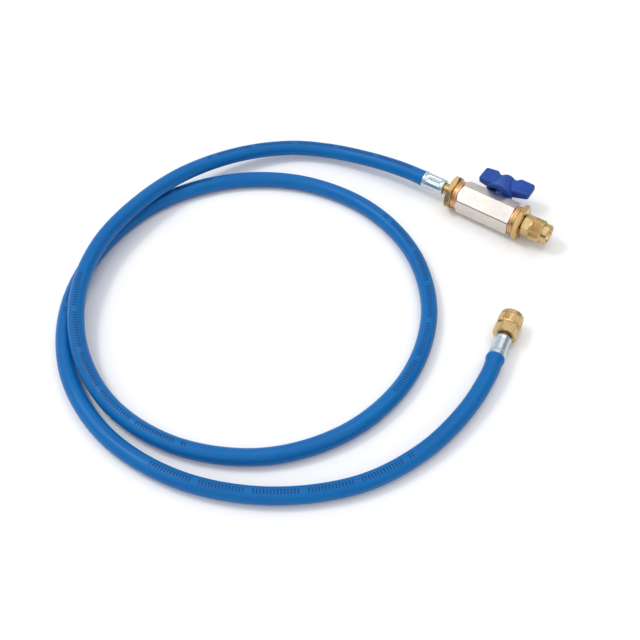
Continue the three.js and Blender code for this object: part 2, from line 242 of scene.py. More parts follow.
def turned(bm, outline, segments=96, closed=False):
    verts = [bm.verts.new((x, 0.0, radius)) for x, radius in outline]
    edges = [bm.edges.new(pair) for pair in zip(verts, verts[1:])]
    if closed:
        edges.append(bm.edges.new((verts[-1], verts[0])))
    bmesh.ops.spin(
        bm,
        geom=verts + edges,
        cent=(0, 0, 0),
        axis=(1, 0, 0),
        angle=2 * math.pi,
        steps=segments,
        use_merge=True,
        use_duplicate=False,
    )
    bmesh.ops.remove_doubles(bm, verts=bm.verts, dist=1e-7)


# cuts a turned blank down to six flats
def cutFlats(bm, acrossFlats, firstFlat):
    for side in range(6):
        angle = firstFlat + side * math.pi / 3
        normal = Vector((0, math.cos(angle), math.sin(angle)))
        cut = bmesh.ops.bisect_plane(
            bm,
            geom=bm.verts[:] + bm.edges[:] + bm.faces[:],
            dist=1e-8,
            plane_co=normal * acrossFlats / 2,
            plane_no=normal,
            clear_outer=True,
        )
        rim = [item for item in cut["geom_cut"] if isinstance(item, bmesh.types.BMEdge)]
        bmesh.ops.edgeloop_fill(bm, edges=rim)


def joinShapes(shapes):
    whole = bmesh.new()
    for shape in shapes:
        bmesh.ops.recalc_face_normals(shape, faces=shape.faces)
        mesh = bpy.data.meshes.new("part")
        shape.to_mesh(mesh)
        shape.free()
        whole.from_mesh(mesh)
        bpy.data.meshes.remove(mesh)
    return whole


def makePiece(name, bm, material, body, nodes, place, bevel=None, sharp=32):
    bmesh.ops.transform(bm, matrix=place, verts=bm.verts)
    mesh = bpy.data.meshes.new(name)
    bm.to_mesh(mesh)
    bm.free()
    for face in mesh.polygons:
        face.use_smooth = True
    piece = bpy.data.objects.new(name, mesh)
    scene.collection.objects.link(piece)
    mesh.materials.append(material)
    if bevel:
        edge = piece.modifiers.new("edges", "BEVEL")
        edge.limit_method = "ANGLE"
        edge.angle_limit = math.radians(sharp)
        edge.width = bevel
        edge.segments = 2
        edge.use_clamp_overlap = True
        edge.harden_normals = True
    else:
        mesh.set_sharp_from_angle(angle=math.radians(sharp))
    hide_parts(*nodes)
    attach(piece, body)
    return piece


# hose; the route repeats part.mjs in metres, and comes from a line traced along the photo's hose
hose = dict(
    diameter=0.011,
    length=1.4799,
    sides=32,
    steps=560,
    tuck=0.0011,
    hug=0.00025,
    flare=0.00065,
    flareAt=0.0016,
    flareWidth=0.0026,
    hugFade=0.008,
    inFerrule=0.0004,
    fineSteps=4,
    fineParts=5,
    farHeight=0.00815,
    blue=(0.0005, 0.1400, 0.4200),
    shade=(0.0004, 0.1100, 0.3600),
    markColour=(0.0015, 0.0280, 0.1150),
    markPeriod=0.303,
    markBlock=0.163,
    firstMark=0.011,
    dash=0.0010,
    dashGap=0.0010,
    dashGroup=16,
    dashSkip=2,
    markHeight=0.0032,
    markSoft=0.00012,
    scratched=(0.10, 0.30, 0.60),
    dusty=(0.55, 0.62, 0.70),
    roughness=0.33,
    route=[
        (-0.0100, 0.0000, 0.0),
        (-0.0260, -0.0009, -0.0006),
        (-0.0500, -0.0040, -0.0022),
        (-0.0785, -0.0110, -0.0041),
        (-0.1045, -0.0255, -0.0038),
        (-0.1295, -0.0565, -0.0004),
        (-0.1465, -0.0990, 0.0039),
        (-0.1530, -0.1430, 0.0048),
        (-0.1490, -0.1870, 0.0046),
        (-0.1305, -0.2280, 0.0032),
        (-0.0990, -0.2600, -0.001),
        (-0.0580, -0.2775, -0.005),
        (-0.0085, -0.2760, -0.0071),
        (0.0400, -0.2515, -0.0073),
        (0.0715, -0.2075, -0.0073),
        (0.0800, -0.1540, -0.0073),
        (0.0640, -0.1010, -0.0073),
        (0.0260, -0.0610, -0.0073),
        (-0.0245, -0.0425, -0.0073),
        (-0.0785, -0.0490, -0.0073),
        (-0.1235, -0.0790, -0.0073),
        (-0.1510, -0.1255, -0.0073),
        (-0.1550, -0.1805, -0.0073),
        (-0.1370, -0.2325, -0.0073),
        (-0.0995, -0.2730, -0.0073),
        (-0.0500, -0.2940, -0.0073),
        (0.0045, -0.2935, -0.0073),
        (0.0550, -0.2730, -0.0073),
        (0.0955, -0.2365, -0.0073),
        (0.1155, -0.1965, -0.007),
        (0.1226, -0.1572, -0.0059),
        (0.1217, -0.1261, -0.00475),
        (0.1189, -0.1114, -0.00468),
    ],
)


# smooth line through the route's points, the same one that the solid follows
def smoothLine(points, perSpan=24):
    points = [2 * points[0] - points[1], *points, 2 * points[-1] - points[-2]]
    line = []
    for before, start, end, after in zip(points, points[1:], points[2:], points[3:]):
        gaps = [math.sqrt((b - a).length) for a, b in ((before, start), (start, end), (end, after))]
        leave = (start - before) / gaps[0] - (end - before) / (gaps[0] + gaps[1]) + (end - start) / gaps[1]
        reach = (end - start) / gaps[1] - (after - start) / (gaps[1] + gaps[2]) + (after - end) / gaps[2]
        leave *= gaps[1]
        reach *= gaps[1]
        for step in range(perSpan):
            t = step / perSpan
            line.append(
                start * (2 * t**3 - 3 * t**2 + 1)
                + leave * (t**3 - 2 * t**2 + t)
                + end * (3 * t**2 - 2 * t**3)
                + reach * (t**3 - t**2)
            )
    line.append(points[-2])
    return line


def evenLine(line, count):
    total = sum((b - a).length for a, b in zip(line, line[1:]))
    step = total / count
    even = [line[0]]
    left = step
    for a, b in zip(line, line[1:]):
        span = (b - a).length
        done = 0.0
        while span - done >= left:
            done += left
            even.append(a.lerp(b, done / span))
            left = step
        left -= span - done
    even[count:] = [line[-1]]
    return even


def makeHoseMaterial():
    material, tree, shader = newMaterial("hoseRubber")
    local = addNode(tree, "ShaderNodeAttribute", attribute_name="unrolled")
    straight = local.outputs["Vector"]
    split = addNode(tree, "ShaderNodeSeparateXYZ")
    tree.links.new(straight, split.inputs[0])
    along, side, up = split.outputs

    # dashes printed in blocks along the top
    fromFirst = maths(tree, "SUBTRACT", along, hose["firstMark"])
    inPeriod = maths(tree, "FLOORED_MODULO", fromFirst, hose["markPeriod"])
    inBlock = maths(tree, "LESS_THAN", inPeriod, hose["markBlock"])
    pitch = hose["dash"] + hose["dashGap"]
    inDash = maths(tree, "FLOORED_MODULO", inPeriod, pitch)
    inGroup = maths(tree, "FLOORED_MODULO", inPeriod, pitch * hose["dashGroup"])
    kept = maths(tree, "LESS_THAN", inGroup, pitch * (hose["dashGroup"] - hose["dashSkip"]))
    dashEnd = spread(tree, inDash, hose["dash"] - 0.0002, hose["dash"] + 0.0001, 1.0, 0.0)
    dashStart = spread(tree, inDash, 0.0, 0.0003)
    half, soft = hose["markHeight"] / 2, hose["markSoft"]
    across = spread(tree, maths(tree, "ABSOLUTE", side), half - soft, half + soft, 1.0, 0.0)
    onTop = maths(tree, "GREATER_THAN", up, 0.0)
    worn = spread(tree, noise(tree, straight, 1800, 3, 0.65), 0.3, 0.42, 0.5, 0.92)
    mark = dashStart
    for limit in (dashEnd, across, inBlock, onTop, kept, worn):
        mark = maths(tree, "MULTIPLY", mark, limit)

    # cover rubber: slow colour drift, extrusion lines, a fine skin
    drift = spread(tree, noise(tree, stretched(tree, straight, (0.15, 1.0, 1.0)), 130, 3), 0.3, 0.7)
    base = mixColour(tree, drift, hose["shade"], hose["blue"])
    handling = useGroup(tree, handlingGroup, straight)
    scratches = maths(tree, "MULTIPLY", handling.outputs["Scratch"], 0.25)
    pale = mixColour(tree, scratches, base, hose["scratched"])
    dusty = mixColour(tree, maths(tree, "MULTIPLY", handling.outputs["Dust"], 0.18), pale, hose["dusty"])
    printed = mixColour(tree, mark, dusty, hose["markColour"])
    tree.links.new(printed, shader.inputs["Base Color"])
    rough = maths(tree, "ADD", hose["roughness"], maths(tree, "MULTIPLY", handling.outputs["Smudge"], 0.09))
    rough = maths(tree, "ADD", rough, maths(tree, "MULTIPLY", mark, 0.12))
    tree.links.new(rough, shader.inputs["Roughness"])
    shader.inputs["Specular IOR Level"].default_value = 0.2
    lines = noise(tree, stretched(tree, straight, (0.03, 1.0, 1.0)), 1900, 2)
    skin = noise(tree, straight, 3200, 3, 0.6)
    height = maths(tree, "ADD", maths(tree, "MULTIPLY", lines, 0.7), maths(tree, "MULTIPLY", skin, 0.3))
    height = maths(tree, "ADD", height, maths(tree, "MULTIPLY", mark, 0.25))
    tree.links.new(addBump(tree, height, 0.22, 0.0002), shader.inputs["Normal"])
    return material


def makeHose():
    points = [valveStart.copy()] + [valveStart + Vector(point) for point in hose["route"]]
    line = evenLine(smoothLine(points), hose["steps"])
    first = (line[1] - line[0]).normalized()
    last = (line[-1] - line[-2]).normalized()
    step = hose["length"] / hose["steps"]
    stations = [line[0] - first * hose["tuck"]]
    distances = [-hose["tuck"]]
    for index, (start, end) in enumerate(zip(line, line[1:])):
        parts = hose["fineParts"] if index >= hose["steps"] - hose["fineSteps"] else 1
        for part in range(parts):
            stations.append(start.lerp(end, part / parts))
            distances.append((index + part / parts) * step)
    stations += [line[-1], line[-1] + last * hose["tuck"]]
    distances += [hose["length"], hose["length"] + hose["tuck"]]
    bm = bmesh.new()
    around = bm.verts.layers.float.new("around")
    unrolled = bm.verts.layers.float_vector.new("unrolled")
    ring = bmesh.ops.create_circle(bm, cap_ends=False, segments=hose["sides"], radius=1.0)["verts"]
    for vert in ring:
        vert[around] = math.atan2(vert.co.x, vert.co.y)
    edges = bm.edges[:]
    up = Vector((0, 0, 1))
    for index, centre in enumerate(stations):
        if index:
            made = bmesh.ops.extrude_edge_only(bm, edges=edges)["geom"]
            ring = [item for item in made if isinstance(item, bmesh.types.BMVert)]
            edges = [item for item in made if isinstance(item, bmesh.types.BMEdge)
                     and all(vert in ring for vert in item.verts)]
        before = stations[max(index - 1, 0)]
        after = stations[min(index + 1, len(stations) - 1)]
        ahead = (after - before).normalized()
        right = ahead.cross(up).normalized()
        top = right.cross(ahead)
        distance = distances[index]
        toFar = hose["length"] - distance
        # the crimp squeezes the rubber out in front of the far ferrule
        flare = hose["flare"] * math.exp(-((toFar - hose["flareAt"]) / hose["flareWidth"]) ** 2)
        if toFar < hose["inFerrule"]:
            flare = min(flare, hose["hug"])
        hug = hose["hug"] * max(0.0, 1 - max(distance, 0) / hose["hugFade"]) ** 2
        radius = hose["diameter"] / 2 + max(flare, hug)
        for vert in ring:
            side = radius * math.sin(vert[around])
            rise = radius * math.cos(vert[around])
            vert.co = centre + right * side + top * rise
            vert[unrolled] = Vector((distance, side, rise))
    bm.verts.layers.float.remove(bm.verts.layers.float["around"])
    bmesh.ops.recalc_face_normals(bm, faces=bm.faces)
    rubber = makeHoseMaterial()
    piece = makePiece("hoseTube", bm, rubber, "base", ["hose"], Matrix(), sharp=60)
    return piece, line


hosePiece, hoseLine = makeHose()
farEnd = hoseLine[-1].copy()
farAhead = Vector(hose["route"][-1]) - Vector(hose["route"][-2])
farHeading = math.atan2(farAhead.y, farAhead.x)
farEnd.z = hose["farHeight"]
farPlace = Matrix.Translation(farEnd) @ Matrix.Rotation(farHeading, 4, "Z")
print("hose ready")


# metals

metals = dict(
    brass=dict(
        colour=(0.630, 0.435, 0.190), dark=(0.400, 0.260, 0.105),
        roughness=0.24, drawn=0.10, turned=0.0,
    ),
    turnedBrass=dict(
        colour=(0.630, 0.450, 0.220), dark=(0.420, 0.285, 0.125),
        roughness=0.22, drawn=0.0, turned=0.16,
    ),
    copper=dict(
        colour=(0.820, 0.390, 0.230), dark=(0.640, 0.260, 0.140),
        roughness=0.34, drawn=0.0, turned=0.10,
    ),
    nickel=dict(
        colour=(0.690, 0.645, 0.605), dark=(0.570, 0.525, 0.485),
        roughness=0.26, drawn=0.14, turned=0.0,
    ),
    zinc=dict(
        colour=(0.600, 0.690, 0.755), dark=(0.430, 0.510, 0.575),
        roughness=0.24, drawn=0.12, turned=0.0,
    ),
    steel=dict(
        colour=(0.640, 0.650, 0.660), dark=(0.420, 0.430, 0.440),
        roughness=0.22, drawn=0.0, turned=0.12,
    ),
)


def makeMetal(kind, place, heading, paintedShadeEdgeAt=None):
    look = metals[kind]
    material, tree, shader = newMaterial(kind)
    vector = axisSpace(tree, place, heading)
    handling = useGroup(tree, handlingGroup, vector)
    patches = spread(tree, noise(tree, vector, 120, 4, 0.6), 0.42, 0.75, smooth=True)
    tarnish = maths(tree, "MULTIPLY", patches, 0.45)
    base = mixColour(tree, tarnish, look["colour"], look["dark"])
    bare = tuple(min(1.0, value * 1.25) for value in look["colour"])
    scuffed = mixColour(tree, maths(tree, "MULTIPLY", handling.outputs["Scratch"], 0.35), base, bare)
    if paintedShadeEdgeAt:
        # painted shade: a dark line along the edge where two flats meet, standing in for the shaded chamfer
        fromPaintedShadeEdge = addNode(tree, "ShaderNodeVectorMath", operation="DISTANCE")
        fromPaintedShadeEdge.inputs[1].default_value = (0, *paintedShadeEdgeAt)
        tree.links.new(stretched(tree, vector, (0, 1, 1)), fromPaintedShadeEdge.inputs[0])
        line = spread(tree, fromPaintedShadeEdge.outputs["Value"], 0.0004, 0.0007, 0.85, 0.0)
        scuffed = mixColour(tree, line, scuffed, tuple(value * 0.2 for value in look["dark"]))
    tree.links.new(scuffed, shader.inputs["Base Color"])
    shader.inputs["Metallic"].default_value = 1.0
    rough = maths(tree, "ADD", look["roughness"], maths(tree, "MULTIPLY", handling.outputs["Smudge"], 0.10))
    rough = maths(tree, "ADD", rough, maths(tree, "MULTIPLY", handling.outputs["Scratch"], 0.12))
    tree.links.new(rough, shader.inputs["Roughness"])
    grain = noise(tree, vector, 4200, 2)
    normal = addBump(tree, grain, 0.06, 0.0001)
    if look["drawn"]:
        lines = useGroup(tree, drawnGroup, vector).outputs["Height"]
        normal = addBump(tree, lines, look["drawn"], 0.0001, normal)
    if look["turned"]:
        rings = useGroup(tree, latheGroup, vector).outputs["Height"]
        normal = addBump(tree, rings, look["turned"], 0.0001, normal)
    normal = addBump(tree, handling.outputs["Scratch"], 0.12, 0.00005, normal)
    tree.links.new(normal, shader.inputs["Normal"])
    return material


brassNear = makeMetal("brass", valveStart, 0.0)
turnedNear = makeMetal("turnedBrass", valveStart, 0.0)
turnedFar = makeMetal("turnedBrass", farEnd, farHeading)
copper = makeMetal("copper", valveStart, 0.0)
nickel = makeMetal("nickel", valveStart, 0.0)
zincNear = makeMetal("zinc", valveStart, 0.0)
zincFar = makeMetal("zinc", farEnd, farHeading)
steel = makeMetal("steel", valveStart, 0.0)


# crimped ferrules
ferrule = dict(
    radius=0.0057,
    lipLength=0.0016,
    near=dict(length=0.0170, lip=0.0061),
    far=dict(length=0.0166, lip=0.00575),
    dies=12,
    flat=0.00535,
    ridge=0.00022,
    crimpStart=0.0030,
    crimpEnd=0.0146,
    crimpRun=0.0009,
    ridgeHalfAngle=0.05,
    edge=0.0004,
    hoseGap=0.00003,
    mouth=0.00015,
    barrelStart=0.0024,
    barrelEnd=0.0010,
    backEdge=0.0006,
    tailHole=0.00385,
    innerStep=0.0020,
    lengthwise=26,
    around=16,
)


def makeFerrule(name, material, node, place, turn, kind):
    size = ferrule
    length, lip, radius = kind["length"], kind["lip"], size["radius"]
    edge, tailHole, innerStep = size["edge"], size["tailHole"], size["innerStep"]
    hoseHole = hose["diameter"] / 2 + hose["hug"] + size["hoseGap"]
    mouth, back = size["mouth"], size["backEdge"]
    outline = [(mouth, hoseHole), (mouth, lip - edge / 2), (edge, lip), (size["lipLength"], lip)]
    outline += [(size["lipLength"] + edge, radius + 0.00005)]
    barrel = length - size["barrelStart"] - size["barrelEnd"]
    for step in range(size["lengthwise"] + 1):
        outline.append((size["barrelStart"] + barrel * step / size["lengthwise"], radius))
    outline += [(length - edge, radius - edge / 2), (length, radius - back)]
    outline += [(length, tailHole + mouth), (length - back, tailHole)]
    outline += [(innerStep, tailHole), (innerStep, hoseHole)]
    bm = bmesh.new()
    turned(bm, outline, size["around"] * size["dies"], closed=True)
    for vert in bm.verts:
        ring = math.hypot(vert.co.y, vert.co.z)
        inCrimp = min(vert.co.x - size["crimpStart"], size["crimpEnd"] - vert.co.x) / size["crimpRun"]
        if ring < radius - 0.0001 or inCrimp <= 0:
            continue
        ease = min(1.0, inCrimp)
        ease = ease * ease * (3 - 2 * ease)
        angle = math.atan2(vert.co.z, vert.co.y) - turn
        sector = 2 * math.pi / size["dies"]
        offset = (angle + sector / 2) % sector - sector / 2
        pressed = size["flat"] / math.cos(offset)
        onRidge = max(0.0, 1 - (sector / 2 - abs(offset)) / size["ridgeHalfAngle"])
        pressed += size["ridge"] * onRidge
        target = ring + (pressed - ring) * ease
        vert.co.y *= target / ring
        vert.co.z *= target / ring
    bmesh.ops.recalc_face_normals(bm, faces=bm.faces)
    makePiece(name, bm, material, "base", [node], place, sharp=28)


makeFerrule("nearFerrule", zincNear, "inlet_ferrule", valvePlace, 0.2, ferrule["near"])
makeFerrule("farFerrule", zincFar, "end_ferrule", farPlace, 0.05, ferrule["far"])
print("ferrules ready")


# brass adapters on both sides of the valve
adapter = dict(
    flats=0.023,
    hexLength=0.0042,
    inletHex=0.0226,
    outletHex=0.0766,
    collar=0.0102,
    collarLength=0.002,
    spigot=0.0060,
    tail=0.0037,
    passage=0.0023,
    tailStart=0.0047,
    lap=0.0003,
    beadStart=0.0052,
    beadEnd=0.0032,
    bead=0.0004,
    collarEdge=0.0004,
    inletEnd=0.0458,
    outletStart=0.0608,
    farRoot=0.0177,
    restTurn=15.0,
    bevel=0.00018,
)


# turned blank of a hexagon, its corners taken down at both ends
def hexBlank(bm, start, end, flats, bore, drop=0.55, spare=0.0003):
    corner = flats / math.sqrt(3) + spare
    face = flats / 2 - spare
    fall = (corner - face) * drop
    outline = [(start, bore), (start, face), (start + fall, corner)]
    outline += [(end - fall, corner), (end, face), (end, bore)]
    turned(bm, outline, 120, closed=True)


def makeInletAdapter():
    size = adapter
    start = size["inletHex"]
    end = start + size["hexLength"]
    hexagon = bmesh.new()
    hexBlank(hexagon, start, end, size["flats"], size["passage"])
    cutFlats(hexagon, size["flats"], -math.pi / 2 - math.radians(size["restTurn"]) + math.pi / 6)
    neck = bmesh.new()
    turned(neck, [
        (size["tailStart"], size["passage"]),
        (size["tailStart"], size["tail"]),
        (start - size["beadStart"], size["tail"]),
        (start - size["beadStart"] + size["bead"], size["tail"] + size["bead"]),
        (start - size["beadEnd"] - size["bead"], size["tail"] + size["bead"]),
        (start - size["beadEnd"], size["tail"]),
        (start - 0.0008, size["tail"]),
        (start - 0.0003, size["tail"] + 0.0002),
        (start + 0.0002, size["tail"] + 0.0010),
        (start + 0.0002, size["passage"]),
    ], closed=True)
    collar = bmesh.new()
    turned(collar, [
        (end - size["lap"], size["passage"]),
        (end - size["lap"], size["collar"] - size["collarEdge"]),
        (end + size["lap"], size["collar"] - size["collarEdge"]),
        (end + 0.0005, size["collar"]),
        (end + size["collarLength"], size["collar"]),
        (end + size["collarLength"], size["spigot"]),
        (size["inletEnd"], size["spigot"]),
        (size["inletEnd"], size["passage"]),
    ], closed=True)
    bm = joinShapes([hexagon, neck, collar])
    makePiece("hoseAdapter", bm, brassNear, "base", ["inlet_adapter"], valvePlace, size["bevel"])


swivel = dict(
    radius=0.00815,
    flats=0.0142,
    bore=0.0053,
    mouth=0.0058,
    wall=0.0024,
    knurlCount=40,
    knurlRows=14,
    knurlDepth=0.00036,
    threadPitch=0.00127,
    threadDepth=0.00055,
    threadStart=0.0012,
    threadTurns=9,
    threadSteps=48,
    neckHole=0.0043,
    mouthDepth=0.0009,
    edge=0.0004,
    slope=0.0005,
    valve=dict(
        start=0.0813,
        length=0.0195,
        flatsLength=0.0056,
        knurlLength=0.0093,
        tip=0.0072,
        firstFlat=8.0,
    ),
    far=dict(
        start=0.0182,
        length=0.0185,
        flatsLength=0.0079,
        knurlLength=0.0077,
        tip=0.0078,
        firstFlat=38.0,
    ),
)


seat = dict(
    turnGap=0.0005,
    edge=0.0003,
    neck=0.004,
    flange=0.0049,
    flangeLength=0.0022,
    lip=0.0033,
    lipLength=0.0016,
)


# neck, flange and seat inside a nut, from the neck's root
def seatOutline(root, start, passage):
    size = seat
    flange = root + size["turnGap"] + swivel["wall"] + size["edge"]
    back = flange + size["flangeLength"]
    tip = back + size["lipLength"]
    return [
        (start, passage),
        (start, size["neck"]),
        (flange, size["neck"]),
        (flange, size["flange"] - 0.0002),
        (flange + size["edge"], size["flange"]),
        (back - size["edge"], size["flange"]),
        (back, size["flange"] - size["edge"]),
        (back, size["lip"]),
        (tip - 0.0002, size["lip"]),
        (tip, size["lip"] - size["edge"]),
        (tip, passage + 0.0002),
        (tip - size["edge"], passage),
    ]


def makeOutletAdapter():
    size = adapter
    start = size["outletHex"]
    end = start + size["hexLength"]
    hexagon = bmesh.new()
    hexBlank(hexagon, start, end, size["flats"], size["passage"])
    cutFlats(hexagon, size["flats"], -math.pi / 2 + math.radians(size["restTurn"]) + math.pi / 6)
    collar = bmesh.new()
    turned(collar, [
        (size["outletStart"], size["passage"]),
        (size["outletStart"], size["spigot"]),
        (start - size["collarLength"], size["spigot"]),
        (start - size["collarLength"], size["collar"]),
        (start - 0.0005, size["collar"]),
        (start - size["lap"], size["collar"] - size["collarEdge"]),
        (start + size["lap"], size["collar"] - size["collarEdge"]),
        (start + size["lap"], size["passage"]),
    ], closed=True)
    neck = bmesh.new()
    turned(neck, seatOutline(end, end - size["lap"], size["passage"]), closed=True)
    bm = joinShapes([hexagon, collar, neck])
    makePiece("freeAdapter", bm, brassNear, "base", ["outlet_adapter"], valvePlace, size["bevel"])


def makeFarTail():
    size = adapter
    root = size["farRoot"]
    outline = [
        (size["tailStart"], size["passage"]),
        (size["tailStart"], size["tail"]),
        (root - size["lap"], size["tail"]),
    ]
    outline += seatOutline(root, root - size["lap"], size["passage"])[1:]
    bm = bmesh.new()
    turned(bm, outline, closed=True)
    bmesh.ops.recalc_face_normals(bm, faces=bm.faces)
    makePiece("farTail", bm, turnedFar, "base", ["end_tail"], farPlace, 0.0001)


makeInletAdapter()
makeOutletAdapter()
makeFarTail()
print("adapters ready")


# swivel nuts
def knurlBand(start, end, radius, depth):
    count = swivel["knurlCount"]
    rows = swivel["knurlRows"]
    bm = bmesh.new()
    outline = [(start + (end - start) * row / rows, radius) for row in range(rows + 1)]
    turned(bm, outline, 2 * count)
    half = math.pi / count
    sink = set()
    for vert in bm.verts:
        row = round((vert.co.x - start) / (end - start) * rows)
        column = round(math.atan2(vert.co.z, vert.co.y) / half)
        if (row + column) % 2 == 0 or row in (0, rows):
            sink.add(vert)
    for face in bm.faces[:]:
        low = [vert for vert in face.verts if vert in sink]
        if len(low) == 2 and len(face.verts) == 4:
            bmesh.ops.connect_verts(bm, verts=low)
    for vert in sink:
        fall = 1 - depth / radius
        vert.co.y *= fall
        vert.co.z *= fall
    return bm


def makeNut(name, material, body, node, place, kind):
    size = swivel
    start = kind["start"]
    flatsEnd = start + kind["flatsLength"]
    knurlEnd = flatsEnd + kind["knurlLength"]
    end = start + kind["length"]
    radius, tip, bore = size["radius"], kind["tip"], size["bore"]
    slope, edge, hole = size["slope"], size["edge"], size["neckHole"]
    depth = size["knurlDepth"]
    inner = depth * 1.1

    rear = bmesh.new()
    turned(rear, [
        (start, hole),
        (start, radius - 2 * slope),
        (start + slope, radius),
        (flatsEnd + 0.0002, radius),
        (flatsEnd + 0.0002, hole),
    ], 120, closed=True)
    cutFlats(rear, size["flats"], math.radians(kind["firstFlat"]))

    knurl = knurlBand(flatsEnd + slope, knurlEnd - slope, radius, depth)
    ends = bmesh.new()
    turned(ends, [
        (flatsEnd + slope, radius - inner),
        (flatsEnd + slope, radius - depth),
        (flatsEnd, radius - slope),
        (flatsEnd, hole),
        (start + size["wall"], hole),
        (start + size["wall"], bore),
        (end - size["mouthDepth"], bore),
        (end, size["mouth"]),
        (end, tip - edge),
        (end - edge, tip),
        (knurlEnd + 0.0009, tip),
        (knurlEnd + 0.0007, tip - 0.0002),
        (knurlEnd, tip - 0.0002),
        (knurlEnd, min(radius - edge, tip + 0.0002)),
        (knurlEnd - slope, radius - depth),
        (knurlEnd - slope, radius - inner),
    ], closed=True)

    thread = bmesh.new()
    pitch = size["threadPitch"]
    turns, steps = size["threadTurns"], size["threadSteps"]
    threadStart = end - size["threadStart"] - pitch
    profile = [(0.0, bore + 0.0001), (pitch / 2, bore - size["threadDepth"]), (pitch, bore + 0.0001)]
    verts = [thread.verts.new((threadStart + x, 0.0, ring)) for x, ring in profile]
    edges = [thread.edges.new(pair) for pair in zip(verts, verts[1:])]
    edges.append(thread.edges.new((verts[-1], verts[0])))
    thread.faces.new(verts)
    bmesh.ops.spin(
        thread,
        geom=verts + edges,
        cent=(0, 0, 0),
        axis=(1, 0, 0),
        dvec=(-pitch / steps, 0, 0),
        angle=2 * math.pi * turns,
        steps=steps * turns,
        use_duplicate=False,
    )
    thread.edges.ensure_lookup_table()
    openEdges = [edge for edge in thread.edges if edge.is_boundary]
    if openEdges:
        bmesh.ops.holes_fill(thread, edges=openEdges, sides=3)
    bm = joinShapes([rear, knurl, ends, thread])
    makePiece(name, bm, material, body, [node], place, sharp=30)


makeNut("valveNut", turnedNear, "valve_nut", "outlet_nut", valvePlace, swivel["valve"])
makeNut("farNut", turnedFar, "far_nut", "end_nut", farPlace, swivel["far"])
print("nuts ready")


# copper washers and gaskets
washer = dict(hoseSide=0.02885, freeSide=0.07275, thickness=0.0018, radius=0.0102, hole=0.0063, edge=0.0003)
gasket = dict(
    valveNut=0.0865,
    farNut=0.0234,
    thickness=0.0014,
    radius=0.0050,
    hole=0.0036,
    edge=0.0003,
    pale=(0.018, 0.018, 0.020),
    dark=(0.008, 0.008, 0.009),
    roughness=0.55,
)


def roundedRing(size, start):
    end = start + size["thickness"]
    outer, inner, edge = size["radius"], size["hole"], size["edge"]
    bm = bmesh.new()
    turned(bm, [
        (start, inner),
        (start, outer - edge),
        (start + edge * 0.3, outer - edge * 0.3),
        (start + edge, outer),
        (end - edge, outer),
        (end - edge * 0.3, outer - edge * 0.3),
        (end, outer - edge),
        (end, inner),
    ], closed=True)
    bmesh.ops.recalc_face_normals(bm, faces=bm.faces)
    return bm


def makeGasketRubber(name, place, heading):
    material, tree, shader = newMaterial(name)
    vector = axisSpace(tree, place, heading)
    grain = noise(tree, vector, 2400, 3, 0.6)
    shader.inputs["Roughness"].default_value = gasket["roughness"]
    base = mixColour(tree, spread(tree, grain, 0.3, 0.7), gasket["dark"], gasket["pale"])
    tree.links.new(base, shader.inputs["Base Color"])
    tree.links.new(addBump(tree, grain, 0.3, 0.0001), shader.inputs["Normal"])
    return material


for name, at, node in (
    ("hoseSideWasher", washer["hoseSide"], "inlet_washer"),
    ("freeSideWasher", washer["freeSide"], "outlet_washer"),
):
    makePiece(name, roundedRing(washer, at), copper, "base", [node], valvePlace)
gasketNear = makeGasketRubber("gasketNear", valveStart, 0.0)
gasketFar = makeGasketRubber("gasketFar", farEnd, farHeading)
for name, at, node, rubber, place in (
    ("valveNutGasket", gasket["valveNut"], "outlet_gasket", gasketNear, valvePlace),
    ("farNutGasket", gasket["farNut"], "end_gasket", gasketFar, farPlace),
):
    makePiece(name, roundedRing(gasket, at), rubber, "base", [node], place)


# valve body, a length of plated hexagonal bar
valveBody = dict(
    start=0.0307,
    length=0.042,
    flats=0.021,
    cone=0.0026,
    face=0.0101,
    bore=0.0065,
    edge=0.0005,
    spare=0.0003,
    bevel=0.00045,
    # turn, in degrees from the stem's flat, of the edge that gets the painted shade line
    paintedShadeEdgeTurn=150.0,
    stemAt=0.0533,
    stemRise=8.0,
    handleTurn=-5.0,
)
stemAngle = math.radians(valveBody["stemRise"])
# turns a shape built along X so that it runs along the stem, its Z along the valve
alongStem = Matrix((
    (0, 0, 1),
    (math.cos(stemAngle), -math.sin(stemAngle), 0),
    (math.sin(stemAngle), math.cos(stemAngle), 0),
))
stemPlace = valvePlace @ Matrix.Translation((valveBody["stemAt"], 0, 0)) @ alongStem.to_4x4()
# the handle stands a little off fully open
leverPlace = stemPlace @ Matrix.Rotation(math.radians(valveBody["handleTurn"]), 4, "X")


def makeBody():
    size = valveBody
    start = size["start"]
    end = start + size["length"]
    corner = size["flats"] / math.sqrt(3)
    bm = bmesh.new()
    turned(bm, [
        (start, size["bore"]),
        (start, size["face"]),
        (start + size["cone"], corner + size["spare"]),
        (end - size["edge"], corner + size["spare"]),
        (end, corner - size["edge"]),
        (end, size["bore"]),
    ], 144, closed=True)
    cutFlats(bm, size["flats"], stemAngle)
    bmesh.ops.recalc_face_normals(bm, faces=bm.faces)
    # painted shade line along the body's lower front edge, standing in for its shaded chamfer
    paintedShadeEdgeAngle = stemAngle + math.radians(size["paintedShadeEdgeTurn"])
    paintedShadeEdgeAt = (corner * math.cos(paintedShadeEdgeAngle), corner * math.sin(paintedShadeEdgeAngle))
    bodyNickel = makeMetal("nickel", valveStart, 0.0, paintedShadeEdgeAt)
    makePiece("valveBody", bm, bodyNickel, "base", ["valve_body"], valvePlace, size["bevel"])


makeBody()
print("valve body ready")


# gland nut, stem and screw, along the stem
gland = dict(start=0.0105, end=0.0136, flats=0.009, bore=0.0028, turn=0.3, bevel=0.00012)
stem = dict(
    tongueStart=0.0042,
    tongue=0.0009,
    shoulder=0.0061,
    radius=0.0025,
    top=0.0277,
    edge=0.0003,
    hole=0.0016,
    holeEnd=0.0225,
    bevel=0.00008,
)
screw = dict(
    end=0.0227,
    thread=0.0013,
    headStart=0.0280,
    head=0.0027,
    headTop=0.0295,
    socket=0.0012,
    socketFloor=0.0287,
)


